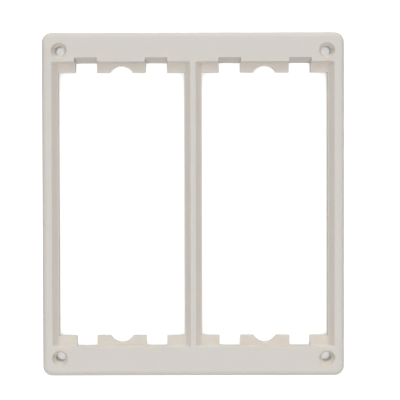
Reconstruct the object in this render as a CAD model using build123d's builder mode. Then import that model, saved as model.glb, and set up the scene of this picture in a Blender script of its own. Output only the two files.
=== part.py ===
"""Floor box adapter frame.

One injection-moulded plate that closes the mouth of an underfloor service box and carries
two tall socket modules side by side. Each module sits on four ledge tabs inside its
opening, its clips pass through the notches between them, and four countersunk screws
hold the plate down.

The frame lies on its back: X runs across the width, Y up the length, and Z from the back
face at 0 to the front face. The origin is the middle of the back face. Sizes are in
millimetres.
"""

import os

from build123d import *

os.makedirs("parts", exist_ok=True)

# The two module openings and the bars round them, measured at the front face
opening_width = 52.9
opening_length = 108.7
centre_bar_width = 2.0
side_bar_width = 3.85
end_bar_width = 11.4
opening_edge_round = 0.4

# Outside of the moulding
frame_depth = 6.5
corner_radius = 3.6
front_round = 2.2

# Where the modules sit: the long sides lean in from the front face down to the ledges
seat_depth = 2.5
side_lean = 2.4
seat_corner_round = 2.5
end_wall_round = 0.5

# Ledge tabs at both ends of an opening, parted by two notches and an arc
ledge_width = 3.8
ledge_thickness = 1.8
notch_width = 7.8
notch_pitch = 26.9
arc_radius = 5.0
arc_wall_gap = 1.25

# Behind the ledges each opening widens, which leaves a lip for clips and seals to hook under
clip_lip = 0.8

# The upper notches run on into the front face as ramps, wider and deeper towards the front
ramp_reach = 1.75
ramp_side_draft = 0.4
ramp_wall = 1.6

# Countersunk screws, one in each corner
screw_inset_x = 6.75
screw_inset_y = 7.05
screw_bore = 3.9
screw_head = 6.0
screw_rim_depth = 0.4
screw_cone_angle = 90.0

# Coring of the back, which leaves walls of nearly even thickness
front_skin = 2.0
outer_wall = 2.0
end_wall = 2.0
bar_wall = 1.5
rib_thickness = 1.4
screw_pad_length = 11.5
side_core_end_gap = 2.0
core_corner_round = 0.5

# Sizes, heights and places that follow from the sizes above
opening_pitch = opening_width + centre_bar_width
frame_width = opening_pitch + opening_width + 2 * side_bar_width
frame_length = opening_length + 2 * end_bar_width
screw_spacing_x = frame_width - 2 * screw_inset_x
screw_spacing_y = frame_length - 2 * screw_inset_y
seat_height = frame_depth - seat_depth
ledge_underside = seat_height - ledge_thickness
opening_end = opening_length / 2
through_width = opening_width - 2 * side_lean
through_length = opening_length - 2 * ledge_width
ledge_middle = opening_end - ledge_width / 2
arc_middle = opening_end - arc_wall_gap - arc_radius
notch_columns = [
    side * opening_pitch / 2 + hand * notch_pitch / 2
    for side in (-1, 1)
    for hand in (-1, 1)
]
side_bar_base = side_bar_width + side_lean - clip_lip
centre_bar_base = centre_bar_width + 2 * (side_lean - clip_lip)


with BuildPart() as adapter_frame:
    # The plate, with round corners and a full round along its front edge
    with BuildSketch():
        RectangleRounded(frame_width, frame_length, corner_radius)
    extrude(amount=frame_depth)
    front_face = adapter_frame.faces().sort_by(Axis.Z)[-1]
    fillet(front_face.outer_wire().edges(), front_round)

    # Module seats: a trough whose long sides lean in and meet its floor in a soft round
    for side in (-1, 1):
        seat_plane = Plane.XZ.offset(-opening_end).move(Location((side * opening_pitch / 2, 0, 0)))
        with BuildSketch(seat_plane):
            with BuildLine():
                Polyline(
                    (-through_width / 2, seat_height),
                    (through_width / 2, seat_height),
                    (opening_width / 2, frame_depth),
                    (-opening_width / 2, frame_depth),
                    close=True,
                )
            make_face()
            fillet(vertices().group_by(Axis.Y)[0], seat_corner_round)
        extrude(amount=opening_length, mode=Mode.SUBTRACT)
    # Inner corners along the end walls, then the edge round the mouth of each opening
    end_wall_faces = adapter_frame.faces().filter_by(Axis.Y).group_by(Axis.Y)[1:-1]
    inner_corners = [
        edge
        for faces in end_wall_faces
        for face in faces
        for edge in face.edges().group_by(Axis.Z)[0:-1]
    ]
    fillet([edge for group in inner_corners for edge in group], end_wall_round)
    front_face = adapter_frame.faces().sort_by(Axis.Z)[-1]
    mouths = [edge for wire in front_face.inner_wires() for edge in wire.edges()]
    fillet(mouths, opening_edge_round)

    # The way through each opening, with square notches and round finger arcs in its ledges
    with BuildSketch():
        with GridLocations(opening_pitch, 0, 2, 1):
            Rectangle(through_width, through_length)
        with GridLocations(opening_pitch, 2 * arc_middle, 2, 2):
            Circle(arc_radius)
        with Locations(*[(x, end * ledge_middle) for x in notch_columns for end in (-1, 1)]):
            Rectangle(notch_width, ledge_width)
    extrude(amount=frame_depth, mode=Mode.SUBTRACT)

    # Ramps behind the upper notches, from flush at the back to their full reach at the front
    for x in notch_columns:
        with BuildSketch(Plane.XY):
            with Locations((x, ledge_middle)):
                Rectangle(notch_width, ledge_width)
        with BuildSketch(Plane.XY.offset(frame_depth)):
            with Locations((x, ledge_middle + ramp_reach / 2)):
                Rectangle(notch_width + 2 * ramp_side_draft, ledge_width + ramp_reach)
        loft(mode=Mode.SUBTRACT)

    # Screw holes: a short straight rim, a cone, and the bore through the corner pad
    with Locations(Plane.XY.offset(frame_depth)):
        with GridLocations(screw_spacing_x, screw_spacing_y, 2, 2):
            Hole(screw_head / 2, depth=screw_rim_depth)
    with Locations(Plane.XY.offset(frame_depth - screw_rim_depth)):
        with GridLocations(screw_spacing_x, screw_spacing_y, 2, 2):
            CounterSinkHole(screw_bore / 2, screw_head / 2, counter_sink_angle=screw_cone_angle)

    # Coring of the two end bars, ribbed, with a wall of its own behind each ramp
    core_inner = opening_end + end_wall
    core_outer = frame_length / 2 - outer_wall
    core_length = frame_width - 2 * screw_pad_length
    ramp_back = opening_end + ramp_reach + ramp_wall
    with BuildSketch():
        with GridLocations(0, core_inner + core_outer, 1, 2):
            Rectangle(core_length, core_outer - core_inner)
        with GridLocations(opening_pitch / 2, core_inner + core_outer, 3, 2):
            Rectangle(rib_thickness, core_outer - core_inner, mode=Mode.SUBTRACT)
        with Locations(*[(x, (core_inner + ramp_back) / 2) for x in notch_columns]):
            Rectangle(
                notch_width + 2 * (ramp_side_draft + ramp_wall),
                ramp_back - core_inner,
                mode=Mode.SUBTRACT,
            )
        fillet(vertices(), core_corner_round)
    extrude(amount=frame_depth - front_skin, mode=Mode.SUBTRACT)

    # Coring of the side bars and the centre bar, below the lean of their walls
    side_core_length = opening_length - 2 * side_core_end_gap
    with BuildSketch():
        with GridLocations(frame_width - side_bar_base, 0, 2, 1):
            Rectangle(side_bar_base - 2 * bar_wall, side_core_length)
        Rectangle(centre_bar_base - 2 * bar_wall, side_core_length)
        with GridLocations(0, side_core_length / 4, 1, 3):
            Rectangle(frame_width, rib_thickness, mode=Mode.SUBTRACT)
        fillet(vertices(), core_corner_round)
    extrude(amount=seat_height, mode=Mode.SUBTRACT)

    # Room behind the ledges: under the lip on three sides, and flush with the foot of the ramps
    with BuildSketch():
        with GridLocations(opening_pitch, 0, 2, 1):
            with Locations((0, -clip_lip / 2)):
                Rectangle(through_width + 2 * clip_lip, opening_length + clip_lip)
    extrude(amount=ledge_underside, mode=Mode.SUBTRACT)


adapter_frame.part.label = "adapter_frame"
export_step(adapter_frame.part, "parts/adapter_frame.step")
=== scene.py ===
# %% [markdown]
# A floor box adapter frame, lit and photographed on a pale table. The frame is one
# moulding, and its true shape comes from the packed model, so nothing is remodelled here.
# What this lesson adds is the look: the plastic, the table, the light and the camera. The
# model's own material slot can take a new material, which is all that the frame needs.

# %% Load the packed model
import math

import bmesh
import bpy
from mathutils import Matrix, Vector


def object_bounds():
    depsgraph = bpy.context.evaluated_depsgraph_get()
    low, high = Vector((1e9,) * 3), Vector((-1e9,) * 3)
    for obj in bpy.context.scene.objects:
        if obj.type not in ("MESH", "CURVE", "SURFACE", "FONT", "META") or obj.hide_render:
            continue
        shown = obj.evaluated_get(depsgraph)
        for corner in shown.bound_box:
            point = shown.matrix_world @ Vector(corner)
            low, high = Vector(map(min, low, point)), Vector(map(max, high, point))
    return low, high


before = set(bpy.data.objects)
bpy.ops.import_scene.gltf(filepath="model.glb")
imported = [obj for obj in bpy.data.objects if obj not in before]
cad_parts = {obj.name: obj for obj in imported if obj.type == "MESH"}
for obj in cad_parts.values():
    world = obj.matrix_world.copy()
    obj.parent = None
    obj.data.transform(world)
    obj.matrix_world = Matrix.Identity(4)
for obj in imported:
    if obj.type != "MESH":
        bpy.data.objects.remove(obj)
cad_low, cad_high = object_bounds()
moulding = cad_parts["adapter_frame"]
MM = 0.001
print("frame size in mm:", [round((b - a) / MM, 2) for a, b in zip(cad_low, cad_high)])

# %% [markdown]
# Materials are sums of many small nodes, and node code gets long when each one is made and
# linked by hand. Here a small class holds one output socket and answers to plus, minus,
# times and abs, so a material reads as arithmetic. Every node comes from its method node,
# which sets the node's settings first, and then fills the sockets with values or links.


# %% A socket that can be used in sums
class Strand:
    """One output socket of a node tree. The first strand of a tree has no socket yet."""

    def __init__(self, tree, socket=None):
        self.tree = tree
        self.socket = socket

    def node(self, kind, settings=None, *in_order, **by_name):
        """Makes a node, with values or links for its sockets in order or by name."""
        made = self.tree.nodes.new(kind)
        for name, value in (settings or {}).items():
            setattr(made, name, value)
        slots = [slot for slot in made.inputs if slot.enabled]
        named_slots = {slot.name.replace(" ", "_"): slot for slot in slots}
        filled = list(zip(slots, in_order))
        filled += [(named_slots[name], value) for name, value in by_name.items()]
        for slot, value in filled:
            if isinstance(value, Strand):
                self.tree.links.new(value.socket, slot)
            else:
                slot.default_value = value
        results = [slot for slot in made.outputs if slot.enabled]
        return Strand(self.tree, results[0] if results else None)

    def output(self, name):
        """Another output of the same node."""
        return Strand(self.tree, self.socket.node.outputs[name])

    def maths(self, operation, *values):
        """A Math node on strands or numbers."""
        return self.node("ShaderNodeMath", {"operation": operation}, *values)

    def __add__(self, other):
        return self.maths("ADD", self, other)

    def __radd__(self, other):
        return self.maths("ADD", other, self)

    def __sub__(self, other):
        return self.maths("SUBTRACT", self, other)

    def __rsub__(self, other):
        return self.maths("SUBTRACT", other, self)

    def __mul__(self, other):
        return self.maths("MULTIPLY", self, other)

    def __rmul__(self, other):
        return self.maths("MULTIPLY", other, self)

    def __abs__(self):
        return self.maths("ABSOLUTE", self)

    def least(self, other):
        return self.maths("MINIMUM", self, other)

    def most(self, other):
        return self.maths("MAXIMUM", self, other)


print("a strand can do:", [name for name in vars(Strand) if not name.startswith("__")])

# %% [markdown]
# The moulding is an off-white engineering plastic. A moulded face is never one flat colour:
# the tool's spark-eroded skin leaves a fine grain that takes the shine off, and cooling
# leaves a faint, slow mottle in its gloss. A picture could show both, but it would need a
# map of the whole part. Noise on Object coordinates needs none, and it stays on the part
# from every side. A Mapping node turns metres into millimetres, so that the values are easy
# to read.

# %% Grain and mottle of the plastic
MOTTLE_PER_MM = 0.16
GRAIN_PER_MM = 3.2
GRAIN_DEPTH = 0.012 * MM
ROUGHNESS = 0.54
MOTTLE_IN_GLOSS = 0.12
GRAIN_IN_GLOSS = 0.08


def new_material(name):
    """An empty material, and the first strand of its tree."""
    material = bpy.data.materials.new(name)
    material.use_nodes = True
    material.node_tree.nodes.clear()
    return material, Strand(material.node_tree)


plastic, start = new_material("off_white_plastic")
place = start.node("ShaderNodeTexCoord").output("Object")
in_mm = start.node("ShaderNodeMapping", Vector=place, Scale=(1 / MM, 1 / MM, 1 / MM))
mottle = start.node("ShaderNodeTexNoise", Vector=in_mm, Scale=MOTTLE_PER_MM, Detail=3.0)
grain = start.node("ShaderNodeTexNoise", Vector=in_mm, Scale=GRAIN_PER_MM, Detail=2.0)
roughness = ROUGHNESS + MOTTLE_IN_GLOSS * mottle + GRAIN_IN_GLOSS * grain
relief = start.node("ShaderNodeBump", Height=grain, Distance=GRAIN_DEPTH, Strength=0.5)
print("grain and mottle cells in mm:", round(1 / GRAIN_PER_MM, 2), 1 / MOTTLE_PER_MM)

# %% [markdown]
# Light that reaches the bottoms of the recesses has mostly bounced off the plastic before,
# and comes out warmer. A few bounces on a smooth surface give only part of that, so that
# bounce light is painted into the colour: below the face and inside its outline the
# plastic is slightly warmer and lighter. In the screw cones painted shade makes it darker
# and warmer. On the walls of the screw bores painted light makes it paler, in place of the
# light that the translucent plastic takes in on all sides. A second and a third material
# would need faces picked by hand. Masks need none: they are worked out from how far a point
# lies from the frame's nearer side, from its nearer end and under its face. Each is over 1
# well inside its place and under 0 outside it, and the Mix node holds it between the two.

# %% Painted light in the recesses and bores, painted shade in the cones, in millimetres
PLASTIC = (0.699, 0.669, 0.630, 1.0)
# Painted bounce light: a warmer, lighter colour below the face in the recesses
PLASTIC_PAINTED_BOUNCE_LIGHT = (0.732, 0.684, 0.626, 1.0)
# Painted shade: a darker, warmer colour in the screw cones
PLASTIC_CONE_PAINTED_SHADE = (0.672, 0.627, 0.560, 1.0)
# Painted light: a paler colour on the walls of the screw bores
PLASTIC_BORE_PAINTED_LIGHT = (0.88, 0.86, 0.82, 1.0)
RECESS_INSET_X = 2.85
RECESS_INSET_Y = 3.15
RECESS_DEPTH = 0.05
RECESS_FADE = 0.35
SCREW_INSET_X = 6.75
SCREW_INSET_Y = 7.05
SCREW_REACH = 3.05
CONE_DEPTH = 0.2
BORE_DEPTH = 1.3
HOLE_MASK_RISE = 4.0


def blend(factor, first, second):
    """The first colour where the factor is 0, and the second where it is 1."""
    colours = {"data_type": "RGBA"}
    return factor.node("ShaderNodeMix", colours, Factor=factor, A=first, B=second)


half_width, half_length, depth = [size / MM for size in cad_high]
parts = start.node("ShaderNodeSeparateXYZ", Vector=in_mm)
from_side = half_width - abs(parts.output("X"))
from_end = half_length - abs(parts.output("Y"))
under_face = depth - parts.output("Z")

inside = (from_side - RECESS_INSET_X).least(from_end - RECESS_INSET_Y)
# Where the painted bounce light goes: below the face and inside the outline
painted_bounce_light_mask = inside.least((under_face - RECESS_DEPTH) * (1.0 / RECESS_FADE))

screw_x = from_side - SCREW_INSET_X
screw_y = from_end - SCREW_INSET_Y
in_hole = SCREW_REACH ** 2 - screw_x * screw_x - screw_y * screw_y
# Where the painted shade of the screw cones goes
painted_cone_shade_mask = HOLE_MASK_RISE * in_hole.least(under_face - CONE_DEPTH)
# Where the painted light of the screw bores goes
painted_bore_light_mask = HOLE_MASK_RISE * in_hole.least(under_face - BORE_DEPTH)

# The painted bounce light of the recesses goes into the colour
colour = blend(painted_bounce_light_mask, PLASTIC, PLASTIC_PAINTED_BOUNCE_LIGHT)
# The painted shade of the screw cones goes into the colour
colour = blend(painted_cone_shade_mask, colour, PLASTIC_CONE_PAINTED_SHADE)
# The painted light of the screw bores goes into the colour
colour = blend(painted_bore_light_mask, colour, PLASTIC_BORE_PAINTED_LIGHT)
screws_apart = 2 * (half_width - SCREW_INSET_X), 2 * (half_length - SCREW_INSET_Y)
print("screws apart in mm:", [round(size, 2) for size in screws_apart])

# %% [markdown]
# One Principled shader carries it all. The colour, the roughness and the relief vary over
# the part and are linked. What is the same all over is set on the shader's own sockets. The
# plastic is a little translucent, and a short subsurface scale softens its corners without
# blurring its rims.

# %% The plastic's shader
shader = start.node(
    "ShaderNodeBsdfPrincipled",
    Base_Color=colour,
    Roughness=roughness,
    Normal=relief,
    IOR=1.5,
    Specular_IOR_Level=0.3,
    Subsurface_Weight=0.7,
    Subsurface_Radius=(1.0, 0.8, 0.6),
    Subsurface_Scale=0.3 * MM,
)
start.node("ShaderNodeOutputMaterial", Surface=shader)

for material_slot in moulding.material_slots:
    material_slot.material = plastic
print("plastic nodes:", len(plastic.node_tree.nodes))

# %% [markdown]
# The frame lies on a plain table. A thick top with legs would add nothing that is seen, so
# one flat sheet stands for it, so large that its edge is far from the frame in every view.

# %% The table's sheet
TABLE_HALF = 6.0

sheet = bmesh.new()
bmesh.ops.create_grid(sheet, x_segments=1, y_segments=1, size=TABLE_HALF)
table_mesh = bpy.data.meshes.new("table")
sheet.to_mesh(table_mesh)
sheet.free()
table = bpy.data.objects.new("table", table_mesh)
bpy.context.scene.collection.objects.link(table)
print("table side in m:", 2 * TABLE_HALF)

# %% [markdown]
# The table should look white to the camera, but lamps strong enough to burn it white would
# wash out the pale plastic as well. So it gives off some white of its own to the camera's
# rays, on top of the light that the lamps throw on it. In the open the two add up to more
# than white, so the frame's real shadow shows only where it is deepest. There, as under the
# screw holes, a painted shadow is added: an Ambient Occlusion node finds such places, and
# the glow fades there. For light that bounces back up to the frame the table is an ordinary
# pale sheet. A Light Path node tells the two kinds of ray apart.

# %% The table's white
WHITE = (1.0, 1.0, 1.0, 1.0)
TABLE_BOUNCE = (0.50, 0.50, 0.50, 1.0)
TABLE_GLOW = 0.44
GLOW_REACH = 8.0 * MM
GLOW_RISE = 3.5


def seen_directly(start):
    """1 for what the camera sees, also in a reflection or through glass, and 0 for light."""
    rays = start.node("ShaderNodeLightPath")
    mirrored = rays.output("Is Glossy Ray")
    passed = rays.output("Is Transmission Ray")
    return (rays.output("Is Camera Ray") + mirrored + passed).least(1.0)


pale, start = new_material("pale_table")
seen = seen_directly(start)
matt = start.node("ShaderNodeBsdfDiffuse", Color=blend(seen, TABLE_BOUNCE, WHITE))
# Painted shadow: the glow fades where the Ambient Occlusion node finds the table closed in
openness = start.node("ShaderNodeAmbientOcclusion", {"samples": 16}, Distance=GLOW_REACH)
glow_share_left_by_painted_shadow = (GLOW_RISE * openness.output("AO")).least(1.0)
glow = start.node("ShaderNodeEmission", Strength=TABLE_GLOW * seen * glow_share_left_by_painted_shadow)
both = start.node("ShaderNodeAddShader", None, matt, glow)
start.node("ShaderNodeOutputMaterial", Surface=both)
table_mesh.materials.append(pale)
print("table nodes:", len(pale.node_tree.nodes))

# %% [markdown]
# The photograph's light can be read from the slopes. A face that leans away to the left or
# right goes a tone darker, a face that leans to the far end does not, and one that leans to
# the near end is in between. So there is a broad soft light overhead, a long soft box low
# over the far end, a weaker one low over the near end, and nothing at the sides. The sky
# gives the first. A picture of a studio could be wrapped round the scene, but a formula is
# shorter and has no grain: the light falls off from straight overhead with the sixth power
# of the height in the sky. The camera and reflections see plain white instead.

# %% The sky
SKY_OVERHEAD = 2.40

world = bpy.data.worlds.new("studio")
bpy.context.scene.world = world
world.use_nodes = True
world.node_tree.nodes.clear()
start = Strand(world.node_tree)
way = start.node("ShaderNodeTexCoord").output("Generated")
height = start.node("ShaderNodeSeparateXYZ", Vector=way).output("Z").most(0.0)
square = height * height
soft = SKY_OVERHEAD * square * square * square
seen = seen_directly(start)
sky = start.node("ShaderNodeBackground", Color=WHITE, Strength=soft + (1.0 - soft) * seen)
start.node("ShaderNodeOutputWorld", Surface=sky)
# A sky that falls off with the sixth power gives a level face a quarter of its top strength
sky_level = SKY_OVERHEAD / 4
print("sky's light on a level face:", round(sky_level, 2))

# %% [markdown]
# Two sun lamps with a wide spread stand in for the soft boxes. Area lamps would do for the
# frame alone, but they light a large table unevenly. Sky and sun light all of it alike, so
# it stays white up to its edge. Together the lights bring a level face to about 1, at which
# a colour renders about as it is written.

# %% The two soft boxes
BOX_TILT = math.radians(62.0)
BOX_SPREAD = math.radians(45.0)
FAR_BOX = 1.62
NEAR_BOX = 0.79


def soft_box(name, energy, tilt):
    """A broad distant lamp, tilted from straight overhead towards the far end."""
    light = bpy.data.lights.new(name, "SUN")
    light.energy = energy
    light.angle = BOX_SPREAD
    lamp = bpy.data.objects.new(name, light)
    lamp.rotation_euler = (-tilt, 0.0, 0.0)
    bpy.context.scene.collection.objects.link(lamp)


soft_box("far_box", FAR_BOX, BOX_TILT)
soft_box("near_box", NEAR_BOX, -BOX_TILT)
level = sky_level + (FAR_BOX + NEAR_BOX) * math.cos(BOX_TILT) / math.pi
print("all light on a level face:", round(level, 2))

# %% [markdown]
# The photograph looks straight down on the face from about a third of a metre, through a
# long lens. The camera's place and its small turns could be set by eye, but the four screw
# holes and the edges of the openings give them more closely. The picture was cropped from
# a larger one, so the lens is shifted a little, as on a view camera, which shows more of
# the walls at the near end.

# %% Camera
LENS = 81.5
CAMERA_PLACE = (0.2 * MM, 20.6 * MM, 351.3 * MM)
CAMERA_TURNS = (math.radians(-0.85), math.radians(0.10), math.radians(-0.14))
CAMERA_SHIFT = (0.02, -0.09)

lens = bpy.data.cameras.new("camera")
lens.lens = LENS
lens.shift_x, lens.shift_y = CAMERA_SHIFT
lens.clip_start = 0.01
camera = bpy.data.objects.new("camera", lens)
camera.location = CAMERA_PLACE
camera.rotation_euler = CAMERA_TURNS
bpy.context.scene.collection.objects.link(camera)
bpy.context.scene.camera = camera
bpy.context.scene.view_settings.view_transform = "Standard"
print("camera height over the face in mm:", round((CAMERA_PLACE[2] - cad_high[2]) / MM, 1))

# %% [markdown]
